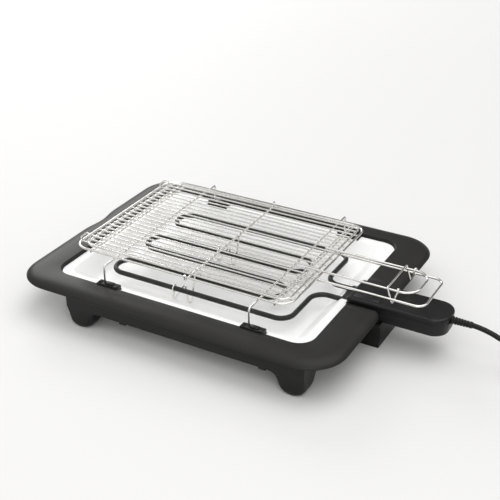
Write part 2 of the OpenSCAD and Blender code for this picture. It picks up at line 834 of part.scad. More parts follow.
module strain_relief() {
    inside = 10;
    color(dark)
        at_frame()
            translate([housing_x1, 0, cord_h])
                rotate([0, 90, 0]) {
                    difference() {
                        union() {
                            translate([0, 0, -inside]) cylinder(h = inside + 0.1, d = relief_d - 0.3);
                            cylinder(h = relief_l, d1 = relief_d, d2 = cord_d + 1.4);
                            translate([0, 0, -inside - 2]) cylinder(h = 2, d = relief_d + 0.8);
                        }
                        translate([0, 0, -inside - 3]) cylinder(h = inside + relief_l + 4, d = cord_d);
                    }
                }
}

// The lead's inner end, from the clamp out to the relief's tip
module inner_cord() {
    color(dark)
        at_frame()
            translate([clamp_x - 2, 0, cord_h])
                rotate([0, 90, 0]) cylinder(h = housing_x1 + relief_l - clamp_x + 2, d = cord_d - 0.2);
}

// Route of the free stretch, from the relief's tip down to the coil
cord_route = [[26, 0, 49], [34, 0, 48.3], [47, 0, 45.6], [61, -0.5, 41], [75, -1.5, 35],
    [89, -3, 28], [102, -5.5, 20.5], [114, -9, 13.5], [126, -13, 8], [138, -16.5, 5],
    [150, -18.6, 4.2], [161, -19, 4.1], [170, -19, 4.1]];
coil_lift = 0.9;
coil_centre = [housing_x1 + 176.4, -19 + coil_r, coil_lift + cord_d / 2];
module power_cord() {
    color(dark)
        at_frame()
            swept_tube([for (p = cord_route) [p[0] + housing_x1, p[1], p[2]]], cord_d, 8);
}

// Coil: in for 2.5 turns, up a layer in half a turn, and out again for 2.5
coil_half = 2.5;
coil_climb = 0.5;
coil_turns = 2 * coil_half + coil_climb;
coil_steps = 24;
function coil_in(t) = min(t, coil_half) - max(0, t - coil_half - coil_climb);
function coil_rise(t) =
    let (u = min(1, max(0, (t - coil_half) / coil_climb))) coil_pitch * u * u * (3 - 2 * u);
function coil_point(t) =
    let (r = coil_r - coil_pitch * coil_in(t), a = 360 * t - 90)
        [coil_centre[0] + r * cos(a), coil_centre[1] + r * sin(a), coil_centre[2] + coil_rise(t)];
coil_path = concat(
    [coil_centre + [-cord_d, -coil_r, 0]],
    [for (i = [0 : coil_turns * coil_steps]) coil_point(i / coil_steps)],
    [coil_point(coil_turns) + [-cord_d, 0, 0]]);
module cord_coil() {
    color(dark) at_frame() swept_tube(coil_path, cord_d, 6);
}
// Least clear distance between turns, measured on the route's points
far = 8;
coil_gap = min([for (i = [0 : len(coil_path) - 1], j = [i + far : 1 : len(coil_path) - 1])
    norm(coil_path[i] - coil_path[j])]) - cord_d;
echo(coil_gap = coil_gap);

// Tie around the bundle, on the side away from the grill
tie_t = 0.7;
tie_w = 7;
module cord_tie() {
    reach = coil_pitch * coil_half;
    inner_r = coil_r - reach - cord_d / 2 - 1;
    outer_r = coil_r + cord_d / 2 + 1.2;
    low = coil_lift - tie_t;
    top = coil_lift + cord_d + coil_pitch + 0.3;
    color(dark)
        at_frame()
            translate([coil_centre[0], coil_centre[1], 0])
                rotate([0, 0, 20])
                    translate([0, tie_w / 2, 0])
                        rotate([90, 0, 0])
                            linear_extrude(tie_w)
                                difference() {
                                    translate([inner_r - tie_t, low])
                                        square([outer_r - inner_r + 2 * tie_t, top - low + tie_t]);
                                    translate([inner_r, low + tie_t])
                                        square([outer_r - inner_r, top - low - tie_t]);
                                }
}

// Moulded plug that lies beside the coil, at the end of the lead
plug_l = 34;
plug_w = 34;
plug_tail = 16;
plug_at = coil_point(coil_turns) + [-cord_d, 0, 0];
plug_half_h = plug_at[2];
plug_pin_d = 4.8;
plug_pin_l = 19;
plug_pin_y = 9.5;
module at_plug() {
    at_frame() translate(plug_at) rotate([0, 0, 180]) children();
}
module plug_body() {
    color(dark)
        at_plug() {
            rotate([0, 90, 0]) cylinder(h = plug_tail, d1 = cord_d + 3, d2 = 14);
            hull() {
                translate([plug_tail, 0, 0]) rotate([0, 90, 0]) cylinder(h = 1, d = 13, $fn = 32);
                for (s = [-1, 1])
                    translate([plug_tail + 10, s * (plug_w / 2 - plug_half_h), 0])
                        rotate([0, 90, 0]) cylinder(h = plug_l - 10, r = plug_half_h, $fn = 32);
            }
        }
}
module plug_pins() {
    color(steel)
        at_plug()
            for (s = [-1, 1])
                translate([plug_tail + plug_l, s * plug_pin_y, 0])
                    rotate([0, 90, 0]) {
                        cylinder(h = plug_pin_l - 1, d = plug_pin_d);
                        translate([0, 0, plug_pin_l - 1]) cylinder(h = 1, d1 = plug_pin_d, d2 = plug_pin_d - 2);
                    }
}

// ---------- wire grids ----------

module grid_frame(left, right, half_w, h, r) {
    wire([[-left, -half_w, h], [right, -half_w, h], [right, half_w, h], [-left, half_w, h]],
         frame_wire, r, true);
}

// Straight wires along X or along Y, each from one end to the other
module rods(ys, x0, x1, h) {
    for (y = ys)
        translate([x0, y, h]) rotate([0, 90, 0]) cylinder(h = x1 - x0, d = rod_d, $fn = wire_fn);
}
module cross_wires(xs, reach, h) {
    for (x = xs)
        translate([x, reach, h]) rotate([90, 0, 0]) cylinder(h = 2 * reach, d = cross_d, $fn = wire_fn);
}

// The lower grid has a rod under every second rod of the upper one
ladder_left = 26.5;
ladder_right = 18.5;
upper_count = floor(upper_half_w / rod_pitch) * 2;
upper_rod_y = [for (i = [0 : upper_count - 1]) (i - (upper_count - 1) / 2) * rod_pitch];
lower_rod_y = [for (i = [0 : 2 : upper_count - 1]) upper_rod_y[i]];
mid_wire_x = -5;
butt = frame_wire / 2 - weld;

module lower_frame_wire() {
    color(steel) at_frame() grid_frame(grid_left, grid_right, grid_half_w, grid_h, grid_corner_r);
}
module lower_rods() {
    color(steel) at_frame() rods(lower_rod_y, -grid_left + butt, grid_right - butt, lower_rod_h);
}

// The middle cross wire turns up beside the outer wire; the others end under it
module lower_cross_wires() {
    hook_y = grid_half_w + frame_wire / 2 + cross_d / 2 + 0.3;
    hook_h = leg_wire_h + 7;
    color(steel)
        at_frame() {
            cross_wires([-grid_left + ladder_left, grid_right - ladder_right], grid_half_w, leg_wire_h);
            wire([[mid_wire_x, -hook_y, hook_h], [mid_wire_x, -hook_y, leg_wire_h],
                  [mid_wire_x, hook_y, leg_wire_h], [mid_wire_x, hook_y, hook_h]], cross_d, 2);
        }
}
module leg_wire(x) {
    color(steel)
        at_frame()
            wire([[x, -leg_y, leg_low], [x, -leg_y, leg_wire_h], [x, leg_y, leg_wire_h], [x, leg_y, leg_low]],
                 cross_d, 3);
}
module leg_wire_left() { leg_wire(leg_left); }
module leg_wire_right() { leg_wire(leg_right); }

module upper_frame_wire() {
    color(steel)
        at_frame() grid_frame(upper_left, upper_right, upper_half_w, upper_frame_h, upper_corner_r);
}
module upper_rods() {
    color(steel) at_frame() rods(upper_rod_y, -upper_left - 1, upper_right + 1, upper_rod_h);
}
module upper_cross_wires() {
    color(steel)
        at_frame()
            cross_wires([-upper_left + ladder_left / 2, mid_wire_x + 5, upper_right - ladder_right * 0.7],
                        upper_half_w - butt, upper_cross_h);
}

// Handles: the lower one ends square, the upper one in a D
lower_handle_h = grid_h - frame_wire / 2 - handle_wire / 2 + weld;
lower_rail_start = grid_right - ladder_right + cross_d / 2 - weld;
module handle_loop(x0, reach, half_w, h, bend) {
    wire([[x0, -half_w, h], [reach, -half_w, h], [reach, half_w, h], [x0, half_w, h]], handle_wire, bend);
}
module lower_handle() {
    color(steel)
        at_frame() handle_loop(lower_rail_start, lower_reach, lower_rail_y, lower_handle_h, 12);
}
upper_end_r = 20;
upper_rail_start = upper_right - ladder_right * 0.7 - 1;
upper_handle_h = upper_frame_h + frame_wire / 2 + handle_wire / 2 - weld;
module upper_handle() {
    color(steel)
        at_frame() handle_loop(upper_rail_start, upper_reach, upper_rail_y, upper_handle_h, upper_end_r);
}

// Oval rings, welded to the upper grid, run loosely round the lower grid's left wire
ring_wire = 2.2;
ring_r = 4.3;
ring_y = [-94, 94];
ring_weld_angle = 30;
ring_weld_r = ring_r + ring_wire / 2 + frame_wire / 2 - weld;
ring_top = [-upper_left - ring_weld_r * cos(ring_weld_angle),
            upper_frame_h + ring_weld_r * sin(ring_weld_angle)];
ring_run = ring_top - [-grid_left, grid_h];
module hinge_rings() {
    color(steel)
        at_frame()
            for (y = ring_y)
                translate([-grid_left, y, grid_h])
                    rotate([0, atan2(ring_run[0], ring_run[1]), 0]) oval_ring(norm(ring_run));
}
module oval_ring(reach) {
    for (s = [-1, 1]) translate([s * ring_r, 0, 0]) cylinder(h = reach, d = ring_wire, $fn = wire_fn);
    translate([0, 0, reach]) half_ring();
    mirror([0, 0, 1]) half_ring();
}
module half_ring() {
    rotate([90, 0, 0])
        rotate_extrude(angle = 180, $fn = 64)
            translate([ring_r, 0]) circle(d = ring_wire, $fn = wire_fn);
}

// Sliding latch: a wire bail with V-shaped sides and an eye round each upper rail
latch_clear = 0.5;
latch_eye_x = upper_reach - upper_end_r - 1.5;
latch_bar_x = latch_eye_x - 13;
latch_tip_x = latch_eye_x - 6;
module handle_latch() {
    eye_wire = latch_wire - 0.2;
    eye_r = handle_wire / 2 + latch_clear + eye_wire / 2;
    out_y = upper_rail_y + eye_r;
    bar_h = upper_handle_h + handle_wire / 2 + latch_wire / 2 + latch_clear;
    tip_h = lower_handle_h - 10;
    color(steel)
        at_frame() {
            kinked_wire([[latch_eye_x, -out_y, upper_handle_h + 0.6], [latch_tip_x, -out_y, tip_h],
                         [latch_bar_x, -out_y, bar_h], [latch_bar_x, out_y, bar_h],
                         [latch_tip_x, out_y, tip_h], [latch_eye_x, out_y, upper_handle_h + 0.6]],
                        latch_wire);
            for (s = [-1, 1])
                translate([latch_eye_x, s * upper_rail_y, upper_handle_h])
                    rotate([0, 90, 0])
                        rotate_extrude($fn = 64) translate([eye_r, 0]) circle(d = eye_wire, $fn = wire_fn);
        }
}

top_frame();
lower_body();
frame_screws();
socket_front_left();
socket_front_right();
socket_back_left();
socket_back_right();
drip_tray();
heating_element();
stand_front();
stand_back();
housing_bottom();
housing_top();
housing_screws();
mounting_plate();
element_bushes();
terminal_tabs();
thermal_cutout();
terminal_leads();
cord_clamp();
strain_relief();
inner_cord();
power_cord();
cord_coil();
cord_tie();
plug_body();
plug_pins();
lower_frame_wire();
lower_rods();
lower_cross_wires();
leg_wire_left();
leg_wire_right();
lower_handle();
upper_frame_wire();
upper_rods();
upper_cross_wires();
upper_handle();
hinge_rings();
handle_latch();
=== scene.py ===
import json
import math

import bpy
import bmesh
from mathutils import Matrix, Vector


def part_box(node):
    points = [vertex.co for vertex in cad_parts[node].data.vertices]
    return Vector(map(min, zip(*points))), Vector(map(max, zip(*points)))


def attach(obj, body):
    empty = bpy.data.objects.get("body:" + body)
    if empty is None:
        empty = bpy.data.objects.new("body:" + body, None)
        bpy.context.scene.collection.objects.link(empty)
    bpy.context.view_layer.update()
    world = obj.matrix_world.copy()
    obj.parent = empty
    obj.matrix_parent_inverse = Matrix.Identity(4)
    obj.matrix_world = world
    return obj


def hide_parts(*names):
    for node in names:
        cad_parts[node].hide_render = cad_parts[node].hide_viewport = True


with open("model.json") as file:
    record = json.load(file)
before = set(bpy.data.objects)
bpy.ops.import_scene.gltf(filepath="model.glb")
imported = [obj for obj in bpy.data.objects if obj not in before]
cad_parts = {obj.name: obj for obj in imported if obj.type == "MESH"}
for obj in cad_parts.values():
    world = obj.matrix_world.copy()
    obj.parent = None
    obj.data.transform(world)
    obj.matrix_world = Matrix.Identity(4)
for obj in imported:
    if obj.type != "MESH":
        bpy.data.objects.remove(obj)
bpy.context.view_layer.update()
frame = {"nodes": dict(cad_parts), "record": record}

MM = 0.001

# Main sizes, in millimetres from the heater's centre and over the table.
RIM_LEFT, RIM_RIGHT, RIM_HALF, RIM_RADIUS = 233.0, 221.0, 178.5, 48.0
RIM_H, LEDGE = 53.0, 47.5
OPEN_LEFT, OPEN_RIGHT, OPEN_FRONT, OPEN_BACK, OPEN_RADIUS = 191.0, 175.0, 141.0, 146.0, 22.0
HOUSING_X0, HOUSING_X1, HOUSING_HALF, HOUSING_RADIUS = 172.0, 300.0, 26.0, 20.0
HOUSING_LOW, HOUSING_SPLIT, HOUSING_TOP = 33.0, 51.0, 57.0
TUBE_H, TUBE_R = 45.0, 3.25
LEG_X, LEG_Y, LEG_HOLE = (-113.0, 96.0), 137.0, 1.65
CORD_D, CORD_H = 6.4, 49
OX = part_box("housing_top")[0][0] / MM - HOUSING_X0     # the heater's centre in the shared frame


def at(x, y, z):
    """A point given in millimetres from the heater's centre over the table."""
    return Vector(((x + OX) * MM, y * MM, z * MM))


# ---------------------------------------------------------------- camera
def make_camera():
    data = bpy.data.cameras.new("camera")
    data.sensor_width = 36.0
    data.lens = 36.0 * 1030.15 / 500.0
    data.clip_start, data.clip_end = 0.05, 50.0
    cam = bpy.data.objects.new("camera", data)
    bpy.context.scene.collection.objects.link(cam)
    fwd = Vector((-0.42521, 0.76757, -0.47961)).normalized()
    right = Vector((0.87475, 0.48458, 0.0)).normalized()
    up = right.cross(fwd).normalized()
    m = Matrix((right, up, -fwd)).transposed().to_4x4()
    m.translation = Vector((0.5955 + OX * MM, -1.0361, 0.7186))
    cam.matrix_world = m
    bpy.context.scene.camera = cam
    return cam


make_camera()


# ---------------------------------------------------------------- materials
def node_material(name):
    mat = bpy.data.materials.new(name)
    mat.use_nodes = True
    nt = mat.node_tree
    nt.nodes.clear()
    out = nt.nodes.new("ShaderNodeOutputMaterial")
    bsdf = nt.nodes.new("ShaderNodeBsdfPrincipled")
    nt.links.new(bsdf.outputs[0], out.inputs[0])
    coord = nt.nodes.new("ShaderNodeTexCoord")
    return mat, nt, bsdf, coord.outputs["Object"]


def noise(nt, vec, scale, detail=3.0, rough=0.5):
    n = nt.nodes.new("ShaderNodeTexNoise")
    n.inputs["Scale"].default_value = scale
    n.inputs["Detail"].default_value = detail
    n.inputs["Roughness"].default_value = rough
    nt.links.new(vec, n.inputs["Vector"])
    return n.outputs["Fac"]


def ramp(nt, fac, stops):
    r = nt.nodes.new("ShaderNodeValToRGB")
    els = r.color_ramp.elements
    while len(els) < len(stops):
        els.new(0.5)
    for e, (pos, col) in zip(els, stops):
        e.position = pos
        e.color = col if len(col) == 4 else (*col, 1.0)
    nt.links.new(fac, r.inputs[0])
    return r.outputs[0]


def spread(nt, fac, lo, hi, a=0.3, b=0.7):
    m = nt.nodes.new("ShaderNodeMapRange")
    m.inputs["From Min"].default_value = a
    m.inputs["From Max"].default_value = b
    m.inputs["To Min"].default_value = lo
    m.inputs["To Max"].default_value = hi
    nt.links.new(fac, m.inputs["Value"])
    return m.outputs["Result"]


def bump(nt, bsdf, height, strength, distance):
    b = nt.nodes.new("ShaderNodeBump")
    b.inputs["Strength"].default_value = strength
    b.inputs["Distance"].default_value = distance
    nt.links.new(height, b.inputs["Height"])
    nt.links.new(b.outputs[0], bsdf.inputs["Normal"])


def simple(name, dark, light, rough, metallic=0.0, grain=400.0, bump_mm=0.02, strength=0.25, coat=0.0,
           coat_rough=0.1, big=12.0, specular=0.5):
    """Colour drifting between two tones, roughness and fine bump from noise."""
    mat, nt, bsdf, vec = node_material(name)
    drift = noise(nt, vec, big, 4.0)
    nt.links.new(ramp(nt, drift, [(0.35, dark), (0.65, light)]), bsdf.inputs["Base Color"])
    fine = noise(nt, vec, grain, 2.0)
    nt.links.new(spread(nt, fine, rough[0], rough[1]), bsdf.inputs["Roughness"])
    bsdf.inputs["Metallic"].default_value = metallic
    bsdf.inputs["Specular IOR Level"].default_value = specular
    if coat:
        bsdf.inputs["Coat Weight"].default_value = coat
        bsdf.inputs["Coat Roughness"].default_value = coat_rough
    bump(nt, bsdf, fine, strength, bump_mm * MM)
    return mat


M = {
    "rim": simple("rim_plastic", (0.0165, 0.016, 0.014), (0.0195, 0.019, 0.0168), (0.33, 0.43), grain=1500.0,
                  bump_mm=0.03, strength=0.2, specular=0.18),
    "body": simple("body_plastic", (0.0075, 0.0072, 0.0070), (0.0095, 0.0091, 0.0088), (0.36, 0.46),
                   grain=1500.0, bump_mm=0.03, strength=0.25, specular=0.24),
    "housing": simple("housing_plastic", (0.006, 0.006, 0.006), (0.0078, 0.0078, 0.0078), (0.27, 0.35),
                      grain=1500.0, bump_mm=0.03, strength=0.2, specular=0.28),
    "socket": simple("socket_plastic", (0.004, 0.004, 0.004), (0.006, 0.006, 0.006), (0.22, 0.32), grain=900.0,
                     specular=0.3),
    "enamel": simple("enamel", (0.965, 0.965, 0.955), (0.98, 0.98, 0.972), (0.30, 0.38), grain=60.0,
                     bump_mm=0.02, strength=0.08, coat=0.06, coat_rough=0.2, specular=0.35),
    "heater": simple("heater_oxide", (0.020, 0.021, 0.020), (0.040, 0.042, 0.038), (0.32, 0.46), metallic=0.55,
                     grain=700.0, big=40.0, bump_mm=0.03, strength=0.3),
    "chrome": simple("chrome_wire", (0.78, 0.77, 0.74), (0.87, 0.86, 0.83), (0.09, 0.17), metallic=1.0,
                     grain=350.0, big=60.0, bump_mm=0.02, strength=0.12),
    "screw": simple("zinc_screw", (0.50, 0.50, 0.48), (0.62, 0.62, 0.60), (0.28, 0.40), metallic=1.0),
    "ceramic": simple("ceramic", (0.80, 0.78, 0.70), (0.86, 0.84, 0.78), (0.55, 0.70)),
    "brass": simple("brass_tab", (0.62, 0.46, 0.20), (0.72, 0.55, 0.26), (0.25, 0.40), metallic=1.0),
    "nickel": simple("nickel_pin", (0.66, 0.65, 0.61), (0.74, 0.73, 0.70), (0.16, 0.26), metallic=1.0),
    "cord": simple("cord_rubber", (0.005, 0.005, 0.005), (0.008, 0.008, 0.008), (0.34, 0.46), grain=1200.0,
                   bump_mm=0.05, strength=0.3, specular=0.25),
    "sleeve": simple("lead_sleeve", (0.55, 0.53, 0.46), (0.66, 0.64, 0.58), (0.70, 0.85), grain=900.0,
                     bump_mm=0.1, strength=0.5),
}

SLOT_MATERIAL = {
    "rim_plastic": "rim", "body_plastic": "body", "socket_plastic": "socket", "enamel": "enamel",
    "heater_tube": "heater", "wire_chrome": "chrome", "screw_steel": "screw", "ceramic": "ceramic",
    "tab_brass": "brass", "pin_brass": "nickel", "lead_sleeve": "sleeve", "cord_rubber": "cord",
}


def smooth(obj, angle=35.0):
    """Smooth shading, with the edges steeper than the angle left sharp."""
    obj.data.shade_smooth()
    obj.data.set_sharp_from_angle(angle=math.radians(angle))


slot_of = {s["node"]: s["material_slot"] for s in frame["record"]["subparts"]}
for name, obj in frame["nodes"].items():
    obj.data.materials.clear()
    obj.data.materials.append(M[SLOT_MATERIAL[slot_of[name]]])


# ---------------------------------------------------------------- pieces
def link(obj):
    bpy.context.scene.collection.objects.link(obj)
    return obj


def curve_tube(name, points, diameter, mat, body, closed=False, resolution=6):
    """A round tube along points given in metres."""
    cu = bpy.data.curves.new(name, "CURVE")
    cu.dimensions = "3D"
    cu.bevel_depth = diameter / 2
    cu.bevel_resolution = resolution
    cu.use_fill_caps = True
    sp = cu.splines.new("POLY")
    sp.points.add(len(points) - 1)
    for p, co in zip(sp.points, points):
        p.co = (*co, 1.0)
    sp.use_cyclic_u = closed
    sp.use_smooth = True
    obj = link(bpy.data.objects.new(name, cu))
    cu.materials.append(M[mat])
    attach(obj, body)
    return obj


# the mains lead: the same route as the solid's, smoothed between its points
COIL_R, COIL_PITCH, COIL_LIFT = 45.0, 7.0, 0.9
COIL_OUT, COIL_Y = 176.4, -19
ROUTE = [(26, 0, 49), (34, 0, 48.3), (47, 0, 45.6), (61, -0.5, 41), (75, -1.5, 35), (89, -3, 28),
         (102, -5.5, 20.5), (114, -9, 13.5), (126, -13, 8), (138, -16.5, 5), (150, -18.6, 4.2),
         (161, -19, 4.1), (170, -19, 4.1)]
COIL_C = Vector((HOUSING_X1 + COIL_OUT, COIL_Y + COIL_R, COIL_LIFT + CORD_D / 2))
COIL_HALF, COIL_CLIMB = 2.5, 0.5
COIL_TURNS = 2 * COIL_HALF + COIL_CLIMB
PLUG_L, PIN_Y = 50, 9.5


def coil_point(t):
    """The lead's centre after t turns: inwards, up a layer, and out again."""
    inward = min(t, COIL_HALF) - max(0.0, t - COIL_HALF - COIL_CLIMB)
    u = min(1.0, max(0.0, (t - COIL_HALF) / COIL_CLIMB))
    r = COIL_R - COIL_PITCH * inward
    a = math.radians(360 * t - 90)
    return Vector((COIL_C.x + r * math.cos(a), COIL_C.y + r * math.sin(a),
                   COIL_C.z + COIL_PITCH * u * u * (3 - 2 * u)))


def cord_line(per_turn=36):
    """The lead's points from the relief's tip to the plug."""
    pts = [Vector((p[0] + HOUSING_X1, p[1], p[2])) for p in ROUTE]
    coil = [coil_point(i / per_turn) for i in range(int(COIL_TURNS * per_turn) + 1)]
    return pts + coil[1:] + [coil[-1] + Vector((-CORD_D, 0, 0))]


def smoothed(points, per=3):
    """Catmull-Rom through the points."""
    out = []
    n = len(points)
    for i in range(n - 1):
        p0, p1, p2, p3 = points[max(i - 1, 0)], points[i], points[i + 1], points[min(i + 2, n - 1)]
        for k in range(per):
            t = k / per
            out.append(0.5 * ((2 * p1) + (p2 - p0) * t + (2 * p0 - 5 * p1 + 4 * p2 - p3) * t * t
                              + (3 * p1 - p0 - 3 * p2 + p3) * t ** 3))
    out.append(points[-1].copy())
    return out


def plug_rings(at_x, cy, cz):
    """Stadium-shaped sections of the moulded plug, from its tail to its face."""
    rows = []
    steps = [(0.0, 4.0, 4.0), (0.5, 4.6, 4.6)]
    for k in range(5):
        d = 1.6 + 2.7 * k
        r = 4.8 + 0.13 * d
        rib = ((0, 0), (0.3, -0.8), (1.2, -0.7), (1.5, 0.2))
        steps += [(d + along, r + out, r + out) for along, out in rib]
    for k in range(9):
        t = k / 8
        e = t * t * (3 - 2 * t)
        steps.append((15.6 + 11.4 * t, 6.9 + 9.6 * e, 6.9 + 4.1 * e))
    steps += [(29, 16.95, 11.05), (31, 16.3, 10.6), (35, 15.9, 10.3), (39, 16.3, 10.6), (41, 16.95, 11.05),
              (48.6, 16.95, 11.05), (49.5, 16.5, 10.6), (50.0, 15.6, 9.7)]
    for d, w, h in steps:
        rows.append([at(at_x - d, cy + p.x, cz + p.y) for p in outline(-w, w, -h, h, h * 0.97, 0.0, 8)])
    return rows


def make_plug():
    """The moulded plug and its two pins, at the lead's end."""
    end = coil_point(COIL_TURNS) + Vector((-CORD_D, 0, 0))
    body = loft("plug_moulded", plug_rings(end.x, end.y, end.z), cap_start=True)
    finish_piece(body, "body", "heater", ("plug_body",), 40)
    pin = [(0.0, 0.2), (2.4, 0.2), (2.4, -17.2), (2.1, -18.0), (1.4, -18.6), (0.0, -18.9)]
    collar = [(2.42, 0.0), (3.3, 0.0), (3.3, -0.5), (3.0, -0.8), (2.42, -0.8)]
    pins = []
    for s in (-1, 1):
        root = (end.x - PLUG_L, end.y + s * PIN_Y, end.z)
        pins.append(turned("pin", pin, root, "x", 28, closed=False))
        pins.append(turned("collar", collar, root, "x", 28))
    pin_obj = merge(pins[0], pins[1:])
    pin_obj.name = "plug_contacts"
    finish_piece(pin_obj, "nickel", "heater", ("plug_pins",), 40)
    return body, pin_obj


def make_tie():
    """A flat strap round the bundle."""
    c, turn = COIL_C, math.radians(20)
    u0, u1, z0, z1 = 22.6, 50.1, 0.2, 14.9
    rows = []
    for grow, v in ((0.0, 3.4), (0.0, -3.4), (0.7, -3.4), (0.7, 3.4)):
        pts = outline(u0 + grow, u1 - grow, z0 + grow, z1 - grow, 3.0 - grow, 0.0, 6, 4)
        rows.append([at(c.x + p.x * math.cos(turn) - v * math.sin(turn),
                        c.y + p.x * math.sin(turn) + v * math.cos(turn), p.y) for p in pts])
    obj = loft("tie_strap", rows, cap_end=False, closed=True)
    soften(obj, 0.15, 1)
    finish_piece(obj, "cord", "heater", ("cord_tie",), 40)
    return obj


def make_relief():
    """The tapered boot, with ribs, where the lead leaves the housing."""
    out = [(5.2, 0.1), (5.3, 0.4), (5.3, 1.7), (5.0, 2.1)]
    for k in range(6):
        d = 2.8 + 3.6 * k
        r = 4.9 - 0.035 * d
        out += [(r - 0.75, d), (r - 0.75, d + 1.0), (r, d + 1.3), (r - 0.05, d + 3.2)]
    out += [(3.95, 25.4), (3.7, 25.9)]
    obj = turned("relief_boot", out + [(3.25, 25.9), (3.25, 0.1)], (HOUSING_X1, 0, CORD_H), "x", 36)
    finish_piece(obj, "body", "heater", ("strain_relief",), 40)


nodes = frame["nodes"]
for name in ("top_frame", "lower_body", "heating_element",
             "lower_frame_wire", "upper_frame_wire", "lower_rods", "upper_rods", "lower_cross_wires",
             "upper_cross_wires", "leg_wire_left", "leg_wire_right", "lower_handle", "upper_handle",
             "hinge_rings", "inner_cord", "frame_screws", "housing_screws"):
    smooth(nodes[name])


def outline(x0, x1, y0, y1, r, z, corner=12, side=0, r2=None):
    """A rounded rectangle's points, counter-clockwise; r2 is the radius at its -X corners."""
    q = r if r2 is None else r2
    pts = []
    ends = ((x1 - r, y0 + r, r, -90), (x1 - r, y1 - r, r, 0),
            (x0 + q, y1 - q, q, 90), (x0 + q, y0 + q, q, 180))
    arcs = [[Vector((cx + rr * math.cos(math.radians(a0 + 90 * k / corner)),
                     cy + rr * math.sin(math.radians(a0 + 90 * k / corner)), z)) for k in range(corner + 1)]
            for cx, cy, rr, a0 in ends]
    for here, after in zip(arcs, arcs[1:] + arcs[:1]):
        pts += here
        pts += [here[-1].lerp(after[0], k / (side + 1)) for k in range(1, side + 1)]
    return pts


def ring(hl, hw, r, z, cx=0.0, cy=0.0, corner=12, r2=None, side=0):
    """A rounded rectangle from its half length and half width, as points in metres."""
    return [at(*p) for p in outline(cx - hl, cx + hl, cy - hw, cy + hw, r, z, corner, side, r2)]


def loft(name, rings, cap_start=False, cap_end=True, closed=False):
    """A skin over rings with the same number of points."""
    bm = bmesh.new()
    rows = [[bm.verts.new(p) for p in r] for r in rings]
    n = len(rows[0])
    for a, b in zip(rows, rows[1:] + (rows[:1] if closed else [])):
        for k in range(n):
            bm.faces.new((a[k], a[(k + 1) % n], b[(k + 1) % n], b[k]))
    if cap_end:
        bm.faces.new(rows[-1])
    if cap_start:
        bm.faces.new(list(reversed(rows[0])))
    bmesh.ops.recalc_face_normals(bm, faces=bm.faces)
    me = bpy.data.meshes.new(name)
    bm.to_mesh(me)
    bm.free()
    return link(bpy.data.objects.new(name, me))


def apply_all(obj):
    with bpy.context.temp_override(object=obj, active_object=obj, selected_objects=[obj],
                                   selected_editable_objects=[obj]):
        for m in list(obj.modifiers):
            bpy.ops.object.modifier_apply(modifier=m.name)


def block(x0, x1, y0, y1, z0, z1):
    """A box to cut with, or to soften into a piece."""
    bm = bmesh.new()
    bmesh.ops.create_cube(bm, size=1.0)
    for v in bm.verts:
        v.co = at(x0 + (v.co.x + 0.5) * (x1 - x0), y0 + (v.co.y + 0.5) * (y1 - y0),
                  z0 + (v.co.z + 0.5) * (z1 - z0))
    me = bpy.data.meshes.new("cutter")
    bm.to_mesh(me)
    bm.free()
    return link(bpy.data.objects.new("cutter", me))


def prism(points, x0, x1):
    """A prism along X over an outline of (y, z) points."""
    bm = bmesh.new()
    ends = [[bm.verts.new(at(x, y, z)) for y, z in points] for x in (x0, x1)]
    n = len(points)
    for k in range(n):
        bm.faces.new((ends[0][k], ends[0][(k + 1) % n], ends[1][(k + 1) % n], ends[1][k]))
    bm.faces.new(ends[1])
    bm.faces.new(list(reversed(ends[0])))
    bmesh.ops.recalc_face_normals(bm, faces=bm.faces)
    me = bpy.data.meshes.new("prism")
    bm.to_mesh(me)
    bm.free()
    return link(bpy.data.objects.new("prism", me))


def turned(name, profile, centre, axis="z", n=40, closed=True):
    """A profile of (radius, distance) points turned about an axis through centre."""
    rows = []
    for k in range(n):
        a = 2 * math.pi * k / n
        row = []
        for r, d in profile:
            u, v = r * math.cos(a), r * math.sin(a)
            off = (u, v, d) if axis == "z" else (d, u, v)
            row.append(at(centre[0] + off[0], centre[1] + off[1], centre[2] + off[2]))
        rows.append(row)
    bm = bmesh.new()
    vs = [[bm.verts.new(p) for p in row] for row in rows]
    m = len(profile)
    for i in range(n):
        for j in range(m if closed else m - 1):
            quad = (vs[i][j], vs[(i + 1) % n][j], vs[(i + 1) % n][(j + 1) % m], vs[i][(j + 1) % m])
            bm.faces.new(quad)
    bmesh.ops.remove_doubles(bm, verts=bm.verts, dist=1e-6)
    bmesh.ops.recalc_face_normals(bm, faces=bm.faces)
    me = bpy.data.meshes.new(name)
    bm.to_mesh(me)
    bm.free()
    return link(bpy.data.objects.new(name, me))


def merge(obj, others):
    """Adds the others' meshes to the first object's and removes them."""
    bm = bmesh.new()
    for o in [obj] + others:
        bm.from_mesh(o.data)
    bm.to_mesh(obj.data)
    bm.free()
    for o in others:
        bpy.data.objects.remove(o)
    return obj


def soften(obj, width, segments=2, angle=40.0):
    m = obj.modifiers.new("soft", "BEVEL")
    m.width = width * MM
    m.segments = segments
    m.limit_method = "ANGLE"
    m.angle_limit = math.radians(angle)
    m.harden_normals = False
    apply_all(obj)
    return obj


def cut_away(obj, cutters):
    for c in cutters:
        m = obj.modifiers.new("cut", "BOOLEAN")
        m.operation = "DIFFERENCE"
        m.solver = "EXACT"
        m.object = c
    apply_all(obj)
    for c in cutters:
        bpy.data.objects.remove(c)


def finish_piece(obj, mat, body, replaced=(), angle=35.0):
    obj.data.materials.append(M[mat])
    smooth(obj, angle)
    if replaced:
        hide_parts(*replaced)
    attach(obj, body)
    return obj


def fillet(c, r, a0, a1, n=5):
    """Points (inset, height) of an arc in the profile plane."""
    return [(c[0] + r * math.cos(math.radians(a0 + (a1 - a0) * k / n)),
             c[1] + r * math.sin(math.radians(a0 + (a1 - a0) * k / n))) for k in range(n + 1)]


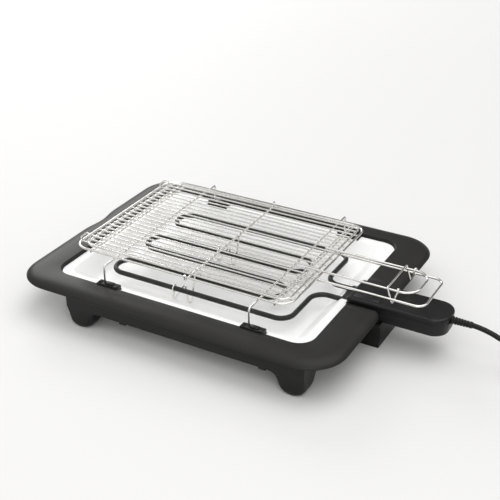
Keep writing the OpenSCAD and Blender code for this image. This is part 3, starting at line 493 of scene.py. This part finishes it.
line = [at(*p) for p in smoothed(cord_line(), 2)]
cord = curve_tube("mains_lead", line, CORD_D * MM, "cord", "heater", resolution=8)
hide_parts("power_cord", "cord_coil")
make_plug()
make_tie()
make_relief()


# rim: one moulding with a rounded inner edge, a curved outer band and a hollow for the fingers
SCREWS = [(x, s * 163.0) for x in (-132, 20, 169) for s in (-1, 1)]
NOTCH, SHOULDER, CORNER = 27.6, (15.0, 3.2), 15.0     # the gap for the housing
NOTCH_FLOOR = 44.5
GRIP_Y, GRIP_HALF, GRIP_DEPTH = 12, 35, 4.4           # the hollow for the fingers


def shoulder_z(y):
    """Height of the rim beside the gap for the housing."""
    t = min(1.0, max(0.0, (NOTCH + SHOULDER[0] - abs(y)) / SHOULDER[0]))
    return RIM_H - SHOULDER[1] * (1 - math.sqrt(1 - t * t))


def notch_tool():
    """What leaves the rim for the housing, with a shoulder on each side."""
    side = [(NOTCH + SHOULDER[0] * (1 - math.cos(math.radians(9 * k))),
             RIM_H - SHOULDER[1] * (1 - math.sin(math.radians(9 * k)))) for k in range(11)]
    top = RIM_H + 4
    edge = [(-y, z) for y, z in side] + [(-side[-1][0], top), (side[-1][0], top)] + list(reversed(side))
    return prism([(-NOTCH, NOTCH_FLOOR)] + edge + [(NOTCH, NOTCH_FLOOR)], 162, 240)


def corner_tool(s):
    """What is outside the rounded corner between the gap and the rim's end, as a prism along Z."""
    c = (RIM_RIGHT - CORNER, s * (NOTCH + CORNER))
    arc = [(c[0] + CORNER * math.cos(math.radians(a)), c[1] - s * CORNER * math.sin(math.radians(a)))
           for a in range(0, 91, 9)]
    pts = [(230, c[1])] + arc + [(c[0], s * (NOTCH - 3)), (230, s * (NOTCH - 3))]
    return loft("tool", [[at(x, y, z) for x, y in pts] for z in (40, 60)], cap_start=True)


def make_rim():
    band, drop = 24.0, 6.0
    base, lip = RIM_H - drop, RIM_H - drop - 2

    def inner(grow, z):
        return [at(*p) for p in outline(-OPEN_LEFT - grow, OPEN_RIGHT + grow, -OPEN_FRONT - grow,
                                        OPEN_BACK + grow, OPEN_RADIUS + grow, z, 12, 40)]

    def outer(u, z):
        pts = outline(-RIM_LEFT + u, RIM_RIGHT - u, -RIM_HALF + u, RIM_HALF - u, RIM_RADIUS - u, z, 12, 40)
        fade = max(0.0, 1 - u / 30.0) ** 1.5
        for p in pts:
            if p.x < -190 and abs(p.y - GRIP_Y) < GRIP_HALF:
                p.x += GRIP_DEPTH * fade * math.cos(math.pi * (p.y - GRIP_Y) / (2 * GRIP_HALF)) ** 2
        return [at(*p) for p in pts]

    def rise(u):
        return drop * (1 - (1 - u / band) ** 2.9) ** 0.74

    rings = [inner(-4, LEDGE), inner(-0.3, LEDGE), inner(0, LEDGE + 0.3)]
    rings += [inner(g, z) for g, z in fillet((1.5, RIM_H - 1.5), 1.5, 180, 90, 5)]
    rings += [outer(band * k / 18, base + rise(band * k / 18)) for k in range(18, -1, -1)]
    rings += [outer(0, lip + 1.2), outer(0.9, lip + 1.0), outer(0.9, lip), outer(2.1, lip),
              outer(3.0, base + rise(3.0) - 3)]
    rings += [outer(band * k / 6, base + rise(band * k / 6) - 3) for k in range(1, 7)]
    rings += [inner(3, RIM_H - 3), inner(3, LEDGE - 2), inner(-4, LEDGE - 2)]
    obj = loft("rim_moulded", rings, cap_end=False, closed=True)
    cut_away(obj, [notch_tool(), corner_tool(-1), corner_tool(1)])
    cheeks = []
    for s in (-1, 1):
        path = [(OPEN_RIGHT + 1.5, NOTCH, 0.0, 1.0), (OPEN_RIGHT + 10, NOTCH, 0.0, 1.0)]
        for deg in range(0, 89, 8):
            across, back = math.sin(math.radians(deg)), math.cos(math.radians(deg))
            path.append((RIM_RIGHT - CORNER + CORNER * across, NOTCH + CORNER - CORNER * back, -across, back))
        rows = []
        for x, y, nx, ny in path:
            row = []
            for deep in (0.05, 2.2):
                px, py = x + nx * deep, y + ny * deep
                under_band = base + rise(min(band, max(0.2, RIM_RIGHT - px))) - 0.4
                top = min(RIM_H - 0.4, under_band, shoulder_z(py) - 0.15)
                row.append([at(px, s * py, LEDGE - 2), at(px, s * py, max(top, LEDGE - 1.8))])
            rows.append(row[0] + list(reversed(row[1])))
        cheeks.append(loft("cheek", rows, cap_start=True))
    soften(obj, 0.7)
    boss = [(1.5, -11), (1.5, -4), (0.2, -4), (0.2, -2.9), (4.5, -2.9), (4.5, -10.7), (4.2, -11)]
    bosses = [turned("boss", boss, (x, y, RIM_H)) for x, y in SCREWS]
    merge(obj, cheeks + bosses)
    finish_piece(obj, "rim", "base", ("top_frame",), 38)


make_rim()


# lower body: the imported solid's walls, with feet that round into them
def foot(name, outer_x, inner_x, s):
    """A foot from the table up to the wall's bottom edge, flared towards inner_x."""
    way = 1.0 if inner_x > outer_x else -1.0
    bottom, flare, top = 10.0, 10.0, 27.0
    rings = []
    levels = [bottom * (1 - math.cos(math.radians(15 * k))) for k in range(1, 6)] + [bottom, 13.0, 17.0]
    levels += [17 + 10 * math.sin(math.radians(15 * k)) for k in range(1, 7)]
    for z in [0.0] + levels:
        inset = bottom - math.sqrt(max(0.0, bottom ** 2 - max(0.0, bottom - z) ** 2))
        up = z / top
        a = outer_x - way * 2.0 * up + way * inset
        b = inner_x + way * (4.0 * min(1.0, z / 17.0) - inset)
        if z > 17:
            b += way * (flare - math.sqrt(max(0.0, flare ** 2 - (z - 17) ** 2)))
        y0, y1 = -172.0 + inset * 0.35, -139.0 + 3.0 * up - inset
        lo, hi = min(a, b), max(a, b)
        pts = outline(lo, hi, y0, y1, min(8.0 * (1 - up * up) + 0.6, 0.45 * (y1 - y0)), z, 6)
        if s > 0:
            pts = [Vector((p.x, -p.y, p.z)) for p in reversed(pts)]
        rings.append([at(*p) for p in pts])
    return loft(name, rings, cap_start=True)


def make_body():
    me = nodes["lower_body"].data.copy()
    obj = link(bpy.data.objects.new("body_moulded", me))
    me.materials.clear()
    bm = bmesh.new()
    bm.from_mesh(me)
    bmesh.ops.remove_doubles(bm, verts=bm.verts, dist=2e-6)
    bmesh.ops.dissolve_limit(bm, angle_limit=math.radians(0.6), verts=bm.verts, edges=bm.edges)
    bm.to_mesh(me)
    bm.free()
    cut_away(obj, [block(x0, x1, s * 154 - 20, s * 154 + 20, -1, 27)
                   for x0, x1 in ((-152, -102.5), (139.5, 187.5)) for s in (-1, 1)])
    for s in (-1, 1):
        for outer_x, inner_x in ((-148.0, -117.0), (185.0, 154.0)):
            piece = foot("foot", outer_x, inner_x, s)
            m = obj.modifiers.new("join", "BOOLEAN")
            m.operation = "UNION"
            m.solver = "EXACT"
            m.object = piece
            apply_all(obj)
            bpy.data.objects.remove(piece)
    soften(obj, 1.0, 3, 45)
    finish_piece(obj, "body", "base", ("lower_body",), 40)


make_body()


# sockets: a clip over the rim's edge with a raised guide beside the grid's leg
def make_socket(name, node, x, s, edge):
    mid = x + 6.0
    inner = LEG_Y - 4.5
    bore = [(0.0, -8), (LEG_HOLE, -8), (LEG_HOLE, 6), (0.0, 6)]

    def slab(x0, x1, y0, y1, z0, z1, w):
        a, b = sorted((s * y0, s * y1))
        return soften(block(x0, x1, a, b, z0, z1), w, 3)

    body = slab(mid - 15.5, mid + 15.5, inner, edge - 0.3, LEDGE, 54.4, 0.8)
    hole = turned("hole", bore, (x, s * LEG_Y, 52.0), closed=False)
    plate = slab(mid - 15.5, mid + 15.5, inner + 1, edge + 2.5, 53.3, 54.5, 0.45)
    plate_hole = turned("hole", bore, (x, s * LEG_Y, 52.0), closed=False)
    cut_away(body, [hole])
    cut_away(plate, [plate_hole])
    guides = [slab(mid - 3.6, mid + 7.7, inner + 1.6, edge - 0.2, 53.4, 56.0, 0.7),
              slab(mid - 14.6, mid - 10.4, inner + 1.6, edge - 0.2, 53.4, 55.4, 0.6),
              slab(mid + 9.2, mid + 14.9, edge - 1.5, edge + 2.2, 53.4, 55.2, 0.6)]
    merge(body, [plate] + guides)
    body.name = name
    finish_piece(body, "socket", "base", (node,), 40)


for side, s, edge in (("front", -1, OPEN_FRONT), ("back", 1, OPEN_BACK)):
    for end, x in zip(("left", "right"), LEG_X):
        make_socket("socket_clip_%s_%s" % (side, end), "socket_%s_%s" % (side, end), x, s, edge)


# drip tray: one sheet, pressed with soft edges
def make_tray():
    hl, hw, r, cx, cy = 182.2, 142.7, 21.2, -8.0, 2.5
    top, low, flange, slope = 48.6, 28.0, 12.0, 20.0
    tilt = math.degrees(math.atan2(top - low, slope))
    soft = 5.5
    lower_soft = 9.0
    prof = [(0.0, top - 0.7), (0.25, top - 0.2), (0.9, top)]
    lip = soft * math.tan(math.radians(tilt / 2))
    prof += fillet((flange - lip, top - soft), soft, 90, 90 - tilt)
    toe = lower_soft * math.tan(math.radians(tilt / 2))
    prof += fillet((flange + slope + toe, low + lower_soft), lower_soft, 270 - tilt, 270, 7)
    rings = [ring(hl - u, hw - u, max(r - u * 0.45, 9.0), z, cx, cy, side=30) for u, z in prof]
    obj = loft("tray_enamelled", rings)
    m = obj.modifiers.new("sheet", "SOLIDIFY")
    m.thickness = 0.8 * MM
    m.offset = -1.0
    apply_all(obj)
    cutters = [block(x - 16.5, x + 16.5, y0, y1, 40, 60)
               for x in (LEG_X[0] + 6, LEG_X[1] + 6) for y0, y1 in ((-150, -131.5), (131.5, 150))]
    legs = block(153, 190, -18.7, 18.7, 40.75, 60)
    nose = block(HOUSING_X0 - 0.8, 190, -27.2, 27.2, 46, 60)
    cutters += [legs, nose]
    cut_away(obj, cutters)
    finish_piece(obj, "enamel", "tray", ("drip_tray",), 40)


make_tray()


# control housing: two moulded shells with soft edges and a fine parting line
def make_housing():
    cx, hl = (HOUSING_X0 + HOUSING_X1) / 2, (HOUSING_X1 - HOUSING_X0) / 2
    low, split, top = HOUSING_LOW, HOUSING_SPLIT, HOUSING_TOP

    def shell(name, prof, mat, replaced):
        rings = [ring(hl - u, HOUSING_HALF - u, HOUSING_RADIUS - u * 0.8, z, cx, r2=2.5) for u, z in prof]
        obj = loft(name, rings, cap_start=True)
        m = obj.modifiers.new("soft", "BEVEL")
        m.width = 0.25 * MM
        m.segments = 2
        m.limit_method = "ANGLE"
        m.angle_limit = math.radians(50)
        apply_all(obj)
        finish_piece(obj, mat, "heater", replaced, 40)
        return obj

    upper = [(1.2, split + 0.35), (0.25, split + 0.35), (0.0, split + 0.6), (0.0, top - 3.0)]
    upper += fillet((3.0, top - 3.0), 3.0, 180, 90, 6)[1:] + [(3.5, top), (9.0, top)]
    cover = shell("housing_cover", upper, "housing", ("housing_top",))
    panel = loft("panel", [ring(17 - u, 10 - u, 2 - u, z, 195, -10.6) for u, z in
                           ((0.0, top - 0.5), (0.0, top + 0.1), (0.15, top + 0.32), (0.45, top + 0.45))])
    panel.data.materials.append(M["housing"])
    smooth(panel, 40)
    merge(cover, [panel])
    lower = [(1.2, split - 0.05), (0.9, split - 0.05), (0.7, split - 0.3), (0.7, low + 3.5)]
    lower += fillet((4.2, low + 3.5), 3.5, 180, 270, 5)[1:]
    shell("housing_base", lower, "housing", ("housing_bottom",))


make_housing()


def bent(points, radius, per=7):
    """A polyline's points with every inner corner rounded."""
    pts = [Vector(p) for p in points]
    out = [pts[0]]
    for a, b, c in zip(pts, pts[1:], pts[2:]):
        u, v = (a - b), (c - b)
        turn = math.pi - u.angle(v)
        if turn < 0.02:
            out.append(b)
            continue
        cut = min(radius * math.tan(turn / 2), 0.48 * u.length, 0.48 * v.length)
        p, q = b + u.normalized() * cut, b + v.normalized() * cut
        for k in range(per + 1):
            t = k / per
            out.append((1 - t) ** 2 * p + 2 * t * (1 - t) * b + t * t * q)
    out.append(pts[-1])
    return out


def loop_points(c, r, n=40):
    """Points round c, in the plane across X."""
    angles = [2 * math.pi * k / n for k in range(n)]
    return [at(c[0], c[1] + r * math.cos(a), c[2] + r * math.sin(a)) for a in angles]


# bail latch: one wire, bent into V-shaped sides that end in eyes round the upper rails
def make_latch():
    eye_x, rail_y, wire = 239.5, 28.5, 2.2
    tip_x, bar_x = eye_x - 6, eye_x - 13
    eye_h, tip_h, bar_h = 86.1, 67.7, 89.2
    eye_r = 1.5 + 0.5 + 1.0
    out_y = rail_y + eye_r
    side = [(eye_x, out_y, eye_h), (tip_x, out_y, tip_h), (bar_x, out_y, bar_h)]

    def eye(s):
        pts = []
        for k in range(31):
            a = math.radians(300 - 300 * k / 30)
            pts.append(at(eye_x + 0.9 * (k / 30 - 1), s * (rail_y + eye_r * math.cos(a)),
                          eye_h + eye_r * math.sin(a)))
        return pts
    left = [Vector(p) for p in eye(-1)] + bent(
        [at(eye_x, -out_y, eye_h)] + [at(x, -y, z) for x, y, z in side[1:]]
        + [at(bar_x, out_y, bar_h), at(tip_x, out_y, tip_h), at(eye_x, out_y, eye_h)], 1.8 * MM)[1:]
    pts = left + list(reversed(eye(1)))[1:]
    obj = curve_tube("latch_bail", pts, wire * MM, "chrome", "latch")
    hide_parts("handle_latch")


make_latch()


# heater stands: a clip round the tube, two feet and a hook under the grid
def make_stand(name, node, y):
    wire, foot_h = 2.0, 29.3
    x = -37.0
    ring_r = TUBE_R + wire / 2 + 0.05
    back = TUBE_R + wire / 2 + 1.5
    hook_h = 73.45
    path = [at(x - 3.5, y + 1, foot_h), at(x - 0.5, y + 2, foot_h), at(x + 13, y + back, TUBE_H + 7),
            at(x + 18.5, y + 2.5, foot_h), at(x + 24, y + 2.5, foot_h), at(x + 28, y + back + 1, hook_h),
            at(x + 28, y + back + 9, hook_h)]
    tail = at(x, y, TUBE_H - ring_r)
    obj = curve_tube(name, bent([tail] + path, 2.2 * MM), wire * MM, "chrome", "heater")
    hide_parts(node)
    ring_obj = curve_tube(name + "_clip", loop_points((x, y, TUBE_H), ring_r), wire * MM, "chrome", "heater",
                          closed=True)


make_stand("stand_wire_front", "stand_front", -93.5)
make_stand("stand_wire_back", "stand_back", 18.7)


# ---------------------------------------------------------------- stage
def make_floor():
    me = bpy.data.meshes.new("floor")
    s = 40.0
    me.from_pydata([(-s, -s, 0), (s, -s, 0), (s, s, 0), (-s, s, 0)], [], [(0, 1, 2, 3)])
    obj = link(bpy.data.objects.new("floor", me))
    obj.location.z = -0.0002
    mat, _, bsdf, _ = node_material("floor")
    bsdf.inputs["Base Color"].default_value = (0.755, 0.752, 0.744, 1)
    bsdf.inputs["Roughness"].default_value = 0.6
    bsdf.inputs["Specular IOR Level"].default_value = 0.2
    me.materials.append(mat)


def make_world():
    """A soft white studio: brightest overhead, with a darker wall on the far side."""
    world = bpy.data.worlds.new("studio")
    bpy.context.scene.world = world
    world.use_nodes = True
    nt = world.node_tree
    nt.nodes.clear()
    out = nt.nodes.new("ShaderNodeOutputWorld")
    bg = nt.nodes.new("ShaderNodeBackground")
    bg.inputs["Strength"].default_value = 0.95
    nt.links.new(bg.outputs[0], out.inputs[0])
    coord = nt.nodes.new("ShaderNodeTexCoord")
    aim = nt.nodes.new("ShaderNodeVectorMath")
    aim.operation = "DOT_PRODUCT"
    aim.inputs[1].default_value = Vector((-0.20, 0.84, 0.42)).normalized()
    nt.links.new(coord.outputs["Generated"], aim.inputs[0])
    wall = ramp(nt, aim.outputs["Value"], [(0.40, (0.80, 0.80, 0.80)), (0.82, (0.22, 0.22, 0.22))])
    sep = nt.nodes.new("ShaderNodeSeparateXYZ")
    nt.links.new(coord.outputs["Generated"], sep.inputs[0])
    lift = ramp(nt, sep.outputs["Z"], [(0.0, (0.55, 0.55, 0.55)), (0.12, (0.75, 0.75, 0.75)),
                                       (0.60, (1.0, 1.0, 1.0)), (0.95, (1.6, 1.6, 1.6))])
    mix = nt.nodes.new("ShaderNodeMix")
    mix.data_type = "RGBA"
    mix.blend_type = "MULTIPLY"
    mix.inputs["Factor"].default_value = 1.0
    nt.links.new(wall, mix.inputs["A"])
    nt.links.new(lift, mix.inputs["B"])
    nt.links.new(mix.outputs["Result"], bg.inputs["Color"])


def area(name, loc, target, size, power):
    data = bpy.data.lights.new(name, "AREA")
    data.shape = "RECTANGLE"
    data.size, data.size_y = size
    data.energy = power
    obj = link(bpy.data.objects.new(name, data))
    obj.location = loc
    obj.rotation_euler = (Vector(target) - Vector(loc)).to_track_quat("-Z", "Y").to_euler()
    return obj


def sun(name, direction, strength, angle):
    data = bpy.data.lights.new(name, "SUN")
    data.energy = strength
    data.angle = math.radians(angle)
    obj = link(bpy.data.objects.new(name, data))
    obj.rotation_euler = Vector(direction).to_track_quat("-Z", "Y").to_euler()
    return obj


make_floor()
make_world()
sun("key", (-0.06, -0.42, -1.0), 1.06, 50)
area("side", (-2.4, 2.2, 1.5), (-0.2, 0, 0.05), (1.8, 1.2), 34)
area("fill", (0.9, -1.6, 1.9), (0, 0, 0.05), (1.4, 1.4), 11)

bpy.context.scene.view_settings.view_transform = "Standard"
